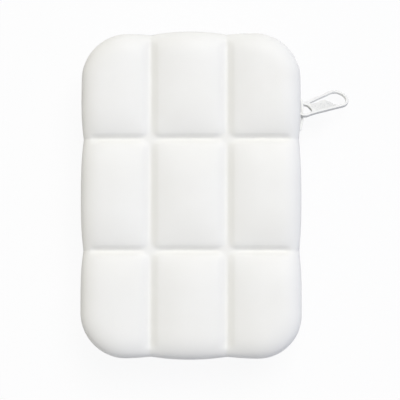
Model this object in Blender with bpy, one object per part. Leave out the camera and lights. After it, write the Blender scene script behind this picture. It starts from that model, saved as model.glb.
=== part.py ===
"""Silicone coin purse: two puffy shells, a zip let into one long side, its slider and a teardrop puller.

The purse lies on its rear face. +Y runs along the zip towards the end where the closed slider parks,
+X points out of the zipped side and +Z is up, through the thickness.
"""

import math

import bmesh
import bpy
from mathutils import Matrix, Vector

MM = 0.001
WELD = 0.01 * MM

# Body of the purse.
BODY_WIDTH = 80.6 * MM
BODY_LENGTH = 120.0 * MM
BODY_THICKNESS = 30.0 * MM
CORNER_RADIUS = 17.2 * MM
WALL = 1.8 * MM
PARTING_GAP = 0.3 * MM
PARTING_INSET = 2.0 * MM
BULGE_HEIGHT = 7.6 * MM
SHOULDER_REACH = 11.0 * MM
SHOULDER_POWER = 2.8
TOP_BOW = 1.6 * MM
LOW_BOW = 0.7 * MM
TOP_TAPER = 0.4 * MM
REST_CUT = 0.5 * MM

# Tiles pressed into both faces; the grooves along the zip are wider than those across.
GROOVE_X = 13.9 * MM
GROOVE_Y = 20.34 * MM
GROOVE_SHIFT_X = -0.75 * MM
GROOVE_SHIFT_Y = -0.55 * MM
GROOVE_DEPTH = 0.75 * MM
GROOVE_FLOOR = 0.55 * MM
GROOVE_HALF_WIDTH = 2.4 * MM
GROOVE_STRETCH = 1.45
TILE_CROWN = 2.1 * MM
SIDE_CROWN = 1.0 * MM
OUTER_TILE_RISE_X = 14.0 * MM
OUTER_TILE_RISE_Y = 18.0 * MM
CROWN_POWER_X = 2.1
CROWN_POWER_Y = 3.0
CROWN_BLEND = 0.7
GROOVE_FADE_DEGREES = (45.0, 75.0)

# Mouth for the zip in the +X side.
MOUTH_LENGTH = 85.0 * MM
MOUTH_FADE = 4.0 * MM
MOUTH_SLOT = 9.2 * MM
LIP_DEPTH = 6.3 * MM
LIP_ROUND = 1.0 * MM

# Zip tapes, coil rows and stops.
CLEARANCE = 0.3 * MM
TAPE_THICKNESS = 0.5 * MM
TAPE_PARTING = 1.6 * MM
TAPE_SEAT = 3.4 * MM
TAPE_PAST_MOUTH = 2.5 * MM
BOTTOM_STOP_INSET = 5.3 * MM
TOP_STOP_INSET = 3.1 * MM
COIL_THICKNESS = 1.7 * MM
COIL_HALF_WIDTH = 2.3 * MM
COIL_SPINE = 0.8 * MM
COIL_OVERLAP = 0.8 * MM
TOOTH_PITCH = 1.8 * MM
TOOTH_WIDTH = 0.6 * MM
STOP_LENGTH = 1.6 * MM
STOP_WIDTH = 1.8 * MM
STOP_LEG = 0.8 * MM
BOTTOM_STOP_WIDTH = 5.2 * MM

# Slider.
SLIDER_LENGTH = 13.6 * MM
SLIDER_NOSE_WIDTH = 8.4 * MM
SLIDER_TAIL_WIDTH = 6.8 * MM
SLIDER_CORNER = 1.2 * MM
SHOULDER_LENGTH = 4.2 * MM
PLATE_THICKNESS = 1.0 * MM
FLANGE = 0.7 * MM
POST_WIDTH = 1.0 * MM
POST_LENGTH = 2.2 * MM
POST_SETBACK = 1.2 * MM
CUT_OVERRUN = 1.0 * MM

# Crown: the bridge that holds the puller.
BRIDGE_THICKNESS = 0.95 * MM
BRIDGE_WIDTH = 0.9 * MM
BRIDGE_GAP = 3.4 * MM
BRIDGE_NOSE = 0.9 * MM
BRIDGE_TAIL = 0.6 * MM
BRIDGE_TOP_LENGTH = 8.6 * MM
BRIDGE_TAIL_DROP = 0.6 * MM
BRIDGE_TAIL_LENGTH = 4.1 * MM
BRIDGE_ROUND = 0.5 * MM
BRIDGE_NOSE_ROUND = 2.0 * MM

# Puller, and how it lies: its plan angle, droop and roll.
PULLER_LENGTH = 24.35 * MM
PULLER_THICKNESS = 1.25 * MM
PULLER_FAR_WIDTH = 8.9 * MM
PULLER_NEAR_WIDTH = 6.6 * MM
PULLER_WAIST_WIDTH = 6.6 * MM
WAIST_AT = 7.4 * MM
RING_RIM = 1.2 * MM
SIDE_RIM = 1.4 * MM
PULLER_WEB = 0.5 * MM
RING_HOLE_LENGTH = 5.2 * MM
RING_CORNER = 1.5 * MM
RING_TURN_DEGREES = (75.0, 285.0)
RING_BRIDGE = 1.1 * MM
WEB_END = 16.5 * MM
WEB_SLANT = 2.0 * MM
WEB_EDGE = 1.15 * MM
WEB_ROUND = 2.0 * MM
SLOT_SETBACK = 0.8 * MM
SLOT_ROUND = 0.35 * MM
BAR_TO_BRIDGE = 2.2 * MM
PULLER_ON_BRIDGE = 0.7 * MM
PULLER_PLAN_DEGREES = 22.2
PULLER_DROOP_DEGREES = 32.5
PULLER_ROLL_DEGREES = -34.0

# Where things lie, worked out from the sizes above.
HALF_WIDTH = BODY_WIDTH / 2
HALF_LENGTH = BODY_LENGTH / 2
MID_HEIGHT = BODY_THICKNESS / 2
RIM_X = HALF_WIDTH - LIP_DEPTH
TAPE_OUTER_X = RIM_X - CLEARANCE
TAPE_INNER_X = TAPE_OUTER_X - TAPE_THICKNESS
COIL_INNER_X = TAPE_OUTER_X + CLEARANCE
COIL_OUTER_X = COIL_INNER_X + COIL_THICKNESS
INNER_PLATE_TOP_X = TAPE_INNER_X - CLEARANCE
INNER_PLATE_X = INNER_PLATE_TOP_X - PLATE_THICKNESS
OUTER_PLATE_X = COIL_OUTER_X + CLEARANCE
OUTER_PLATE_TOP_X = OUTER_PLATE_X + PLATE_THICKNESS
BRIDGE_X = OUTER_PLATE_TOP_X + BRIDGE_GAP
TAPE_LENGTH = MOUTH_LENGTH + 2 * TAPE_PAST_MOUTH
BOTTOM_STOP_Y = BOTTOM_STOP_INSET - MOUTH_LENGTH / 2
TOP_STOP_Y = MOUTH_LENGTH / 2 - TOP_STOP_INSET - STOP_LENGTH / 2
SLIDER_NOSE_Y = TOP_STOP_Y - STOP_LENGTH / 2 - CLEARANCE
SLIDER_TAIL_Y = SLIDER_NOSE_Y - SLIDER_LENGTH
SLIDER_Y = (SLIDER_NOSE_Y + SLIDER_TAIL_Y) / 2
POST_Y = SLIDER_NOSE_Y - POST_SETBACK - POST_LENGTH / 2
SPINE_X = PARTING_INSET - HALF_WIDTH

# Local axes of a flat outline: X along the zip, Y through the thickness, extruded across.
ALONG_ZIP = (math.radians(90), 0.0, math.radians(90))
ACROSS_ZIP = (math.radians(90), 0.0, 0.0)


def smooth(value):
    """Eases 0..1 in and out."""
    value = min(1.0, max(0.0, value))
    return value * value * (3 - 2 * value)


def mix(a, b, share):
    return a + (b - a) * share


def make_material(name, colour, roughness, metallic=0.0):
    material = bpy.data.materials.new(name)
    material.use_nodes = True
    shader = material.node_tree.nodes["Principled BSDF"]
    shader.inputs["Base Color"].default_value = (*colour, 1.0)
    shader.inputs["Roughness"].default_value = roughness
    shader.inputs["Metallic"].default_value = metallic
    return material


def make_collection(name):
    collection = bpy.data.collections.new(name)
    bpy.context.scene.collection.children.link(collection)
    return collection


def finish(obj, material):
    """Gives a part its material and soft shading with crisp edges."""
    obj.data.materials.clear()
    obj.data.materials.append(material)
    obj.data.shade_smooth()
    obj.data.set_sharp_from_angle(angle=math.radians(40))
    return obj


def make_empty(name, location, rotation=(0.0, 0.0, 0.0)):
    empty = bpy.data.objects.new(name, None)
    purse.objects.link(empty)
    empty.empty_display_size = BODY_THICKNESS / 2
    empty.location = location
    empty.rotation_euler = rotation
    return empty


def hang_on(parent, *children):
    """Parents pieces and leaves them where they are."""
    bpy.context.view_layer.update()
    for child in children:
        child.parent = parent
        child.matrix_parent_inverse = parent.matrix_world.inverted()


def outline_solid(name, loops, thickness, location, rotation, collection):
    """A flat outline, with any holes, extruded to both sides of its own plane."""
    curve = bpy.data.curves.new(name, "CURVE")
    curve.dimensions = "2D"
    curve.fill_mode = "BOTH"
    curve.extrude = thickness / 2
    for loop in loops:
        spline = curve.splines.new("POLY")
        spline.points.add(len(loop) - 1)
        for point, (x, y) in zip(spline.points, loop):
            point.co = (x, y, 0.0, 1.0)
        spline.use_cyclic_u = True
    guide = bpy.data.objects.new(name + "_outline", curve)
    collection.objects.link(guide)
    guide.location = location
    guide.rotation_euler = rotation
    bpy.context.view_layer.update()
    graph = bpy.context.evaluated_depsgraph_get()
    mesh = bpy.data.meshes.new_from_object(guide.evaluated_get(graph))
    solid = bpy.data.objects.new(name, mesh)
    solid.matrix_world = guide.matrix_world
    bpy.data.objects.remove(guide)
    collection.objects.link(solid)
    bm = bmesh.new()
    bm.from_mesh(mesh)
    bmesh.ops.remove_doubles(bm, verts=bm.verts, dist=WELD)
    bmesh.ops.recalc_face_normals(bm, faces=bm.faces)
    bm.to_mesh(mesh)
    bm.free()
    return solid


def cut(obj, cutter):
    """Takes the cutter's shape out of a part."""
    cutter.hide_render = True
    cutter.display_type = "WIRE"
    modifier = obj.modifiers.new("cut_" + cutter.name, "BOOLEAN")
    modifier.operation = "DIFFERENCE"
    modifier.solver = "EXACT"
    modifier.object = cutter


def rounded(points, radii, steps=3):
    """A closed outline with each corner turned at its own radius."""
    out = []
    for here, radius in enumerate(radii):
        corner = Vector(points[here])
        before = (Vector(points[here - 1]) - corner).normalized()
        after = (Vector(points[(here + 1) % len(points)]) - corner).normalized()
        if radius == 0:
            out.append(tuple(corner))
            continue
        half = before.angle(after) / 2
        centre = corner + (before + after).normalized() * (radius / math.sin(half))
        start = corner + before * (radius / math.tan(half)) - centre
        end = corner + after * (radius / math.tan(half)) - centre
        turn = start.angle_signed(end)
        for step in range(steps + 1):
            spoke = start.copy()
            spoke.rotate(Matrix.Rotation(-turn * step / steps, 2))
            out.append(tuple(centre + spoke))
    return out


def arc(centre, radius, start, end, steps):
    """Points on an arc, angles in degrees."""
    angles = [math.radians(mix(start, end, step / steps)) for step in range(steps + 1)]
    return [(centre[0] + radius * math.cos(a), centre[1] + radius * math.sin(a)) for a in angles]


# Sections through a shell's edge are given as inset from the widest outline and height over the
# parting plane.


def bezier(points, share):
    weights = ((1 - share) ** 3, 3 * share * (1 - share) ** 2, 3 * share**2 * (1 - share), share**3)
    return tuple(sum(w * p[axis] for w, p in zip(weights, points)) for axis in (0, 1))


PLAIN_CLIMB_SHARES = (0.25, 0.55)
LIP_WALL_SHARES = (1.6, 0.9)


def edge_cage(mouth, skin):
    """The four points that steer the section from the parting edge to the bulge, at skin depth."""
    half_gap = PARTING_GAP / 2
    low_share, high_share = PLAIN_CLIMB_SHARES
    plain = (
        (PARTING_INSET + skin, half_gap),
        (PARTING_INSET / 2 + skin, mix(half_gap, BULGE_HEIGHT, low_share)),
        (skin, mix(half_gap, BULGE_HEIGHT, high_share)),
        (skin, BULGE_HEIGHT),
    )
    slot = MOUTH_SLOT / 2
    along_share, through_share = LIP_WALL_SHARES
    lipped = (
        (LIP_DEPTH, slot + skin),
        (LIP_ROUND + along_share * skin, slot + through_share * skin),
        (skin, slot + through_share * skin),
        (skin, BULGE_HEIGHT),
    )
    return [tuple(mix(a, b, mouth) for a, b in zip(p, q)) for p, q in zip(plain, lipped)]


def section(station, mouth, skin, height):
    """Inset, height and outward slope: stations 0..1 climb to the bulge, 1..2 turn over the shoulder."""
    if station <= 1:
        cage = edge_cage(mouth, skin)
        inset, rise = bezier(cage, station)
        near = bezier(cage, station - 0.01)
        far = bezier(cage, station + 0.01)
        normal = Vector((far[1] - near[1], far[0] - near[0])).normalized()
        return inset, rise, normal
    turn = math.radians(90) * (station - 1)
    reach = SHOULDER_REACH - skin
    climb = height - BULGE_HEIGHT - skin
    flat = max(0.0, math.cos(turn)) ** (2 / SHOULDER_POWER)
    steep = math.sin(turn) ** (2 / SHOULDER_POWER)
    power = SHOULDER_POWER - 1
    normal = Vector((climb * flat**power, reach * steep**power)).normalized()
    return skin + reach * (1 - flat), BULGE_HEIGHT + climb * steep, normal


def tile_drop(place, groove, outer_rise, power):
    """How far a tile's crown has fallen, 0 on its top and 1 at the groove."""
    place = abs(place)
    if place <= groove:
        return (place / groove) ** power
    return max(0.0, 1 - (place - groove) / outer_rise) ** power


def groove_share(aside):
    """1 on a groove's flat floor, 0 beyond its edge."""
    return 1 - smooth((aside - GROOVE_FLOOR) / (GROOVE_HALF_WIDTH - GROOVE_FLOOR))


def sunk(x, y, station):
    """How far the surface lies under the plain section, for crowns and grooves."""
    x -= GROOVE_SHIFT_X
    y -= GROOVE_SHIFT_Y
    drop_x = tile_drop(x, GROOVE_X, OUTER_TILE_RISE_X, CROWN_POWER_X)
    drop_y = tile_drop(y, GROOVE_Y, OUTER_TILE_RISE_Y, CROWN_POWER_Y)
    crown = 1 - (1 - drop_x) * (1 - drop_y)
    share_x = groove_share(abs(abs(x) - GROOVE_X) / GROOVE_STRETCH)
    share_y = groove_share(abs(abs(y) - GROOVE_Y))
    trench = 1 - (1 - share_x) * (1 - share_y)
    first, last = GROOVE_FADE_DEGREES
    turned = 90 * (station - 1)
    depth = SIDE_CROWN * min(1.0, station) ** 2
    depth += (TILE_CROWN - SIDE_CROWN) * smooth((station - 1) / CROWN_BLEND)
    return depth * crown + GROOVE_DEPTH * trench * smooth((turned - first) / (last - first))


def mouth_share(y):
    """1 along the mouth, easing to 0 at its ends."""
    return smooth((MOUTH_LENGTH / 2 - abs(y)) / MOUTH_FADE)


# Stations of the rings from the parting edge inwards; the last lies at the corners' centres.
RING_STATION_SHARES = (0.0, 0.36, 0.68, 1.0, 1.28, 1.58, 1.82, 2.0)
RINGS = len(RING_STATION_SHARES)


def straight_places(half, groove, groove_half, shift, stops):
    """Rows of points across the straight part, set close at the grooves and at any other stops."""
    side = groove + groove_half
    inner = groove - groove_half
    crossing = [inner, mix(inner, groove, 0.5), groove, mix(groove, side, 0.5), side]
    tiles = [inner / 2, *crossing]
    middle = [shift - p for p in reversed(tiles)] + [shift] + [shift + p for p in tiles]
    ends = [*stops, half] if stops[-1] < half else stops
    below = [-p for p in reversed(ends)]
    between = mix(middle[-1], ends[0], 0.5)
    return below + [mix(below[-1], middle[0], 0.5)] + middle + [between] + list(ends)


def surface_point(column, row, columns, rows, skin, height):
    """Where a grid point lies on the shell, relative to the middle of the purse."""
    last_column = len(columns) - 1 + 2 * RINGS
    last_row = len(rows) - 1 + 2 * RINGS
    from_side = min(column, last_column - column)
    from_end = min(row, last_row - row)
    ring = min(from_side, from_end)
    sign_x = 1 if column * 2 > last_column else -1
    sign_y = 1 if row * 2 > last_row else -1
    middle_x = HALF_WIDTH - CORNER_RADIUS
    middle_y = HALF_LENGTH - CORNER_RADIUS
    x = columns[min(max(column - RINGS, 0), len(columns) - 1)]
    y = rows[min(max(row - RINGS, 0), len(rows) - 1)]
    if ring >= RINGS:
        return Vector((x, y, height - skin - sunk(x, y, 2.0)))
    station = RING_STATION_SHARES[ring]
    at_mouth = sign_x > 0 and from_side == ring
    inset, rise, slope = section(station, mouth_share(y) if at_mouth else 0.0, skin, height)
    if from_side <= RINGS and from_end <= RINGS:
        steps = RINGS - ring
        if from_side <= from_end:
            angle = math.radians(45) * (RINGS - from_end) / steps
        else:
            angle = math.radians(90) - math.radians(45) * (RINGS - from_side) / steps
        outward = Vector((sign_x * math.cos(angle), sign_y * math.sin(angle)))
    elif from_side == ring:
        outward = Vector((sign_x, 0))
    else:
        outward = Vector((0, sign_y))
    foot = Vector((x, y)) + outward * (CORNER_RADIUS - inset)
    bow = (TOP_BOW if outward.y > 0 else LOW_BOW) * (x / middle_x) ** 2
    taper = TOP_TAPER * max(0.0, y / middle_y) ** 4
    foot.y -= outward.y * bow * (1 - station / 2)
    foot.x -= outward.x * taper * (1 - station / 2)
    down = sunk(foot.x, foot.y, station)
    return Vector(
        (
            foot.x - outward.x * slope.x * down,
            foot.y - outward.y * slope.x * down,
            rise - slope.y * down,
        )
    )


def make_shell(name, side):
    """One moulded half: outer skin, inner skin and the rim between them. side is 1 in front, -1 behind."""
    straight_x = HALF_WIDTH - CORNER_RADIUS
    straight_y = HALF_LENGTH - CORNER_RADIUS
    mouth_end = MOUTH_LENGTH / 2
    groove_half_x = GROOVE_HALF_WIDTH * GROOVE_STRETCH
    mouth_stops = [mouth_end - MOUTH_FADE, mouth_end - MOUTH_FADE / 2, mouth_end]
    columns = straight_places(straight_x, GROOVE_X, groove_half_x, GROOVE_SHIFT_X, [straight_x])
    rows = straight_places(straight_y, GROOVE_Y, GROOVE_HALF_WIDTH, GROOVE_SHIFT_Y, mouth_stops)
    across = len(columns) - 1 + 2 * RINGS
    along = len(rows) - 1 + 2 * RINGS
    height = MID_HEIGHT + (REST_CUT if side < 0 else 0.0)
    bm = bmesh.new()
    skins = []
    for skin in (0.0, WALL):
        grid = bmesh.ops.create_grid(bm, x_segments=across, y_segments=along, size=1.0)["verts"]
        places = {}
        for vertex in grid:
            column = round((vertex.co.x + 1) / 2 * across)
            row = round((vertex.co.y + 1) / 2 * along)
            places[column, row] = vertex
            vertex.co = surface_point(column, row, columns, rows, skin, height)
            vertex.co.z = min(vertex.co.z, MID_HEIGHT - skin) * side
        skins.append(places)
    rim = [(c, 0) for c in range(across)]
    rim += [(across, r) for r in range(along)]
    rim += [(across - c, along) for c in range(across)]
    rim += [(0, along - r) for r in range(along)]
    outer, inner = skins
    for here, there in zip(rim, rim[1:] + rim[:1]):
        bm.faces.new((outer[here], outer[there], inner[there], inner[here]))
    bmesh.ops.recalc_face_normals(bm, faces=bm.faces)
    mesh = bpy.data.meshes.new(name)
    bm.to_mesh(mesh)
    bm.free()
    shell = bpy.data.objects.new(name, mesh)
    shell.location = (0.0, 0.0, MID_HEIGHT)
    purse.objects.link(shell)
    return finish(shell, silicone)


def make_tape(name, side):
    """A woven strip seated behind the lip, its inner edge facing the other tape across a parting."""
    inner = TAPE_PARTING / 2
    outer = MOUTH_SLOT / 2 + TAPE_SEAT
    bpy.ops.mesh.primitive_cube_add(size=1.0)
    tape = bpy.context.object
    tape.name = name
    tape.data.transform(Matrix.Diagonal((TAPE_THICKNESS, TAPE_LENGTH, outer - inner, 1.0)))
    tape.location = (
        (TAPE_INNER_X + TAPE_OUTER_X) / 2,
        0.0,
        MID_HEIGHT + side * (inner + outer) / 2,
    )
    for collection in list(tape.users_collection):
        collection.objects.unlink(tape)
    purse.objects.link(tape)
    return finish(tape, woven)


def make_coil_row(name, side):
    """One row of teeth with the spine that carries them; the other row's teeth lie half a pitch on."""
    start = BOTTOM_STOP_Y + STOP_LENGTH + CLEARANCE
    end = POST_Y - POST_LENGTH / 2 - CLEARANCE
    back = COIL_HALF_WIDTH
    front = COIL_HALF_WIDTH - COIL_SPINE
    tip = -COIL_OVERLAP / 2
    count = int((end - start - TOOTH_WIDTH) / TOOTH_PITCH - 0.5) + 1
    offset = 0.0 if side > 0 else TOOTH_PITCH / 2
    loop = [(start, back), (start, front)]
    for tooth in range(count):
        near = start + offset + tooth * TOOTH_PITCH
        if near > start:
            loop.append((near, front))
        else:
            loop.pop()
        loop += [(near, tip), (near + TOOTH_WIDTH, tip), (near + TOOTH_WIDTH, front)]
    loop += [(end, front), (end, back)]
    loop = [(along, side * across) for along, across in loop]
    middle = ((COIL_INNER_X + COIL_OUTER_X) / 2, 0.0, MID_HEIGHT)
    row = outline_solid(name, [loop], COIL_THICKNESS, middle, ALONG_ZIP, purse)
    return finish(row, nylon)


def make_top_stop(name, side):
    """A clip folded round the tape's edge just past the slider's nose."""
    web = TAPE_PARTING / 2 - CLEARANCE
    inside = web - STOP_LEG / 2
    far = web + STOP_WIDTH
    lower, upper = TAPE_INNER_X - CLEARANCE, TAPE_OUTER_X + CLEARANCE
    loop = [
        (lower - STOP_LEG, inside),
        (upper + STOP_LEG, inside),
        (upper + STOP_LEG, far),
        (upper, far),
        (upper, web),
        (lower, web),
        (lower, far),
        (lower - STOP_LEG, far),
    ]
    loop = [(x, side * z) for x, z in loop]
    middle = (0.0, TOP_STOP_Y, MID_HEIGHT)
    stop = outline_solid(name, [loop], STOP_LENGTH, middle, ACROSS_ZIP, purse)
    return finish(stop, painted)


def make_bottom_stop():
    """A clip that ties both tapes together where the teeth end."""
    web = TAPE_PARTING / 2 - CLEARANCE
    far = BOTTOM_STOP_WIDTH / 2
    lower, upper = TAPE_INNER_X - CLEARANCE, TAPE_OUTER_X + CLEARANCE
    quarter = [(lower - STOP_LEG, far), (lower, far), (lower, web), (upper, web), (upper, far)]
    quarter.append((upper + STOP_LEG, far))
    loop = quarter + [(x, -z) for x, z in reversed(quarter)]
    middle = (0.0, BOTTOM_STOP_Y + STOP_LENGTH / 2, MID_HEIGHT)
    stop = outline_solid("bottom_stop", [loop], STOP_LENGTH, middle, ACROSS_ZIP, purse)
    return finish(stop, painted)


def slider_outline(inset, overrun=0.0):
    """The slider seen from outside: wide at its nose, narrow at its tail. inset narrows it all along."""
    nose = SLIDER_NOSE_WIDTH / 2 - inset
    tail = SLIDER_TAIL_WIDTH / 2 - inset
    front = SLIDER_LENGTH / 2 + overrun
    waist = SLIDER_LENGTH / 2 - SHOULDER_LENGTH
    points = [(-front, -tail), (waist - SHOULDER_LENGTH, -tail), (waist, -nose), (front, -nose)]
    return points + [(along, -across) for along, across in reversed(points)]


def make_slider_body():
    """Two plates joined by a post at the nose, with a flange down each side that steers the rows."""
    thickness = OUTER_PLATE_TOP_X - INNER_PLATE_X
    middle = ((OUTER_PLATE_TOP_X + INNER_PLATE_X) / 2, SLIDER_Y, MID_HEIGHT)
    corner = SLIDER_CORNER
    loop = rounded(slider_outline(0.0), (corner,) * 8)
    body = outline_solid("slider_body", [loop], thickness, middle, ALONG_ZIP, purse)
    post_middle = POST_Y - SLIDER_Y
    post = [
        (post_middle - POST_LENGTH / 2, 0.0),
        (post_middle, POST_WIDTH / 2),
        (post_middle + POST_LENGTH / 2, 0.0),
        (post_middle, -POST_WIDTH / 2),
    ]
    channel_x = (INNER_PLATE_TOP_X + OUTER_PLATE_X) / 2
    channel = outline_solid(
        "channel_cutter",
        [slider_outline(FLANGE, CUT_OVERRUN), post],
        OUTER_PLATE_X - INNER_PLATE_TOP_X,
        (channel_x, SLIDER_Y, MID_HEIGHT),
        ALONG_ZIP,
        cutters,
    )
    far = SLIDER_NOSE_WIDTH / 2 + CUT_OVERRUN
    end = SLIDER_LENGTH / 2 + CUT_OVERRUN
    slot_top = TAPE_OUTER_X + CLEARANCE
    slot = outline_solid(
        "tape_slot_cutter",
        [[(-end, -far), (end, -far), (end, far), (-end, far)], post],
        slot_top - INNER_PLATE_TOP_X,
        ((slot_top + INNER_PLATE_TOP_X) / 2, SLIDER_Y, MID_HEIGHT),
        ALONG_ZIP,
        cutters,
    )
    cut(body, channel)
    cut(body, slot)
    return finish(body, painted)


def make_crown():
    """A bent strip standing on the outer plate: steep at the nose, long and sloping at the tail."""
    foot = OUTER_PLATE_TOP_X + CLEARANCE
    top = BRIDGE_X + BRIDGE_THICKNESS
    nose = SLIDER_NOSE_Y - BRIDGE_NOSE
    tail = nose - BRIDGE_TOP_LENGTH
    slope = tail - BRIDGE_TAIL_LENGTH
    end = SLIDER_TAIL_Y + BRIDGE_TAIL
    strip = BRIDGE_THICKNESS
    loop = [
        (foot, nose),
        (top, nose),
        (top, tail),
        (top - BRIDGE_TAIL_DROP, slope),
        (foot, end),
        (foot, end + 2 * strip),
        (top - BRIDGE_TAIL_DROP - strip, slope + strip),
        (BRIDGE_X, tail + strip / 2),
        (BRIDGE_X, nose - strip),
        (foot, nose - strip),
    ]
    soft = BRIDGE_ROUND
    nose_inside = BRIDGE_NOSE_ROUND - strip
    radii = (0.0, BRIDGE_NOSE_ROUND, soft, soft, 0.0, 0.0, 0.0, soft, nose_inside, 0.0)
    crown = outline_solid(
        "slider_crown",
        [rounded(loop, radii)],
        BRIDGE_WIDTH,
        (0.0, 0.0, MID_HEIGHT),
        (0.0, 0.0, 0.0),
        purse,
    )
    return finish(crown, painted)


# The puller's own axes: X along it with the bridge at 0, Y across it, Z through its thickness.
PULLER_NEAR_END = -BAR_TO_BRIDGE - RING_RIM / 2
RING_CENTRE = PULLER_NEAR_END + PULLER_NEAR_WIDTH / 2
FAR_CENTRE = PULLER_NEAR_END + PULLER_LENGTH - PULLER_FAR_WIDTH / 2
WAIST = PULLER_NEAR_END + WAIST_AT


def side_lean():
    """Angle in degrees between the puller's axis and its straight side, which meets the far arc."""
    far = PULLER_FAR_WIDTH / 2
    across = far - PULLER_WAIST_WIDTH / 2
    along = FAR_CENTRE - WAIST
    return math.degrees(math.atan2(across, along) + across * across / (2 * far * along))


def side_at(along, inset):
    """Half width of the puller at a place on its straight side."""
    lean = math.radians(side_lean())
    return PULLER_WAIST_WIDTH / 2 - inset + (along - WAIST) * math.tan(lean)


def puller_outline():
    """Teardrop with a ring at its near end and a slight waist behind the ring."""
    lean = side_lean()
    loop = arc((FAR_CENTRE, 0.0), PULLER_FAR_WIDTH / 2, -90 - lean, 90 + lean, 10)
    loop.append((WAIST, PULLER_WAIST_WIDTH / 2))
    loop += arc((RING_CENTRE, 0.0), PULLER_NEAR_WIDTH / 2, *RING_TURN_DEGREES, 9)
    loop.append((WAIST, -PULLER_WAIST_WIDTH / 2))
    return loop


def ring_hole():
    """Opening that the bridge passes through: round at the near end, squarer at the other."""
    near = PULLER_NEAR_WIDTH / 2 - RING_RIM
    end = PULLER_NEAR_END + RING_RIM + RING_HOLE_LENGTH
    half = PULLER_WAIST_WIDTH / 2 - RING_RIM
    corner = RING_CORNER
    hole = arc((RING_CENTRE, 0.0), near, *RING_TURN_DEGREES, 7)
    hole += arc((end - corner, -half + corner), corner, -90, 0, 3)
    return hole + arc((end - corner, half - corner), corner, 0, 90, 3)


def make_puller():
    """A cast tab: a ring near the bridge, a thin web between raised rims, and a window past the web.

    The window runs back between the web and one rim, as a slot.
    """
    lean = side_lean()
    web_start = PULLER_NEAR_END + RING_RIM + RING_HOLE_LENGTH + RING_BRIDGE
    slot_start = web_start + SLOT_SETBACK
    low_end = PULLER_NEAR_END + WEB_END
    high_end = low_end - WEB_SLANT
    far_arc = arc((FAR_CENTRE, 0.0), PULLER_FAR_WIDTH / 2 - SIDE_RIM, -90 - lean, 90 + lean, 8)
    corners = [
        (low_end, -side_at(low_end, SIDE_RIM)),
        *far_arc,
        (slot_start, side_at(slot_start, SIDE_RIM)),
        (slot_start, WEB_EDGE),
        (high_end, WEB_EDGE),
    ]
    radii = (0.0,) * (1 + len(far_arc)) + (SLOT_ROUND, SLOT_ROUND, WEB_ROUND)
    puller = outline_solid(
        "pull_tab",
        [puller_outline(), ring_hole(), rounded(corners, radii)],
        PULLER_THICKNESS,
        (0.0, 0.0, 0.0),
        (0.0, 0.0, 0.0),
        purse,
    )
    past = low_end + CUT_OVERRUN / 2
    recess = [
        (web_start, -side_at(web_start, SIDE_RIM)),
        (past, -side_at(past, SIDE_RIM)),
        (past, side_at(past, SIDE_RIM)),
        (web_start, side_at(web_start, SIDE_RIM)),
    ]
    depth = (PULLER_THICKNESS - PULLER_WEB) / 2 + CUT_OVERRUN
    for side, name in ((1, "web_cutter_upper"), (-1, "web_cutter_lower")):
        middle = (0.0, 0.0, side * (PULLER_WEB + depth) / 2)
        cutter = outline_solid(name, [recess], depth, middle, (0.0, 0.0, 0.0), cutters)
        cut(puller, cutter)
        cutter.parent = puller
    return finish(puller, painted)


for old in list(bpy.data.objects):
    bpy.data.objects.remove(old)

purse = make_collection("silicone_coin_purse")
cutters = make_collection("cutters")
silicone = make_material("white_silicone", (0.88, 0.88, 0.87), 0.5)
woven = make_material("white_woven_tape", (0.86, 0.86, 0.85), 0.85)
nylon = make_material("white_nylon", (0.88, 0.88, 0.87), 0.4)
painted = make_material("white_painted_metal", (0.86, 0.86, 0.86), 0.3)

make_shell("rear_shell", -1)
make_tape("zip_tape_rear", -1)
make_coil_row("zip_teeth_rear", -1)
make_top_stop("top_stop_rear", -1)
make_bottom_stop()

spine = make_empty("mouth_hinge", (SPINE_X, 0.0, MID_HEIGHT))
hang_on(
    spine,
    make_shell("front_shell", 1),
    make_tape("zip_tape_front", 1),
    make_coil_row("zip_teeth_front", 1),
    make_top_stop("top_stop_front", 1),
)

slider_run = make_empty("slider_run", ((OUTER_PLATE_TOP_X + INNER_PLATE_X) / 2, SLIDER_Y, MID_HEIGHT))
hang_on(slider_run, make_slider_body(), make_crown())

puller_turn = make_empty(
    "puller_turn",
    (BRIDGE_X + BRIDGE_THICKNESS / 2, SLIDER_Y + PULLER_ON_BRIDGE, MID_HEIGHT),
    (
        math.radians(PULLER_ROLL_DEGREES),
        math.radians(PULLER_DROOP_DEGREES),
        math.radians(PULLER_PLAN_DEGREES),
    ),
)
make_puller().parent = puller_turn
hang_on(slider_run, puller_turn)
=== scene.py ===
"""Silicone coin purse: the looks of its skin, zip, slider and puller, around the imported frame.

Lengths are in metres. +Y runs along the zip towards the closed slider, +X points out of the zipped
side and +Z is up, through the thickness.
"""

import math

import bmesh
import bpy
import numpy as np
from mathutils import Matrix, Vector


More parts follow.
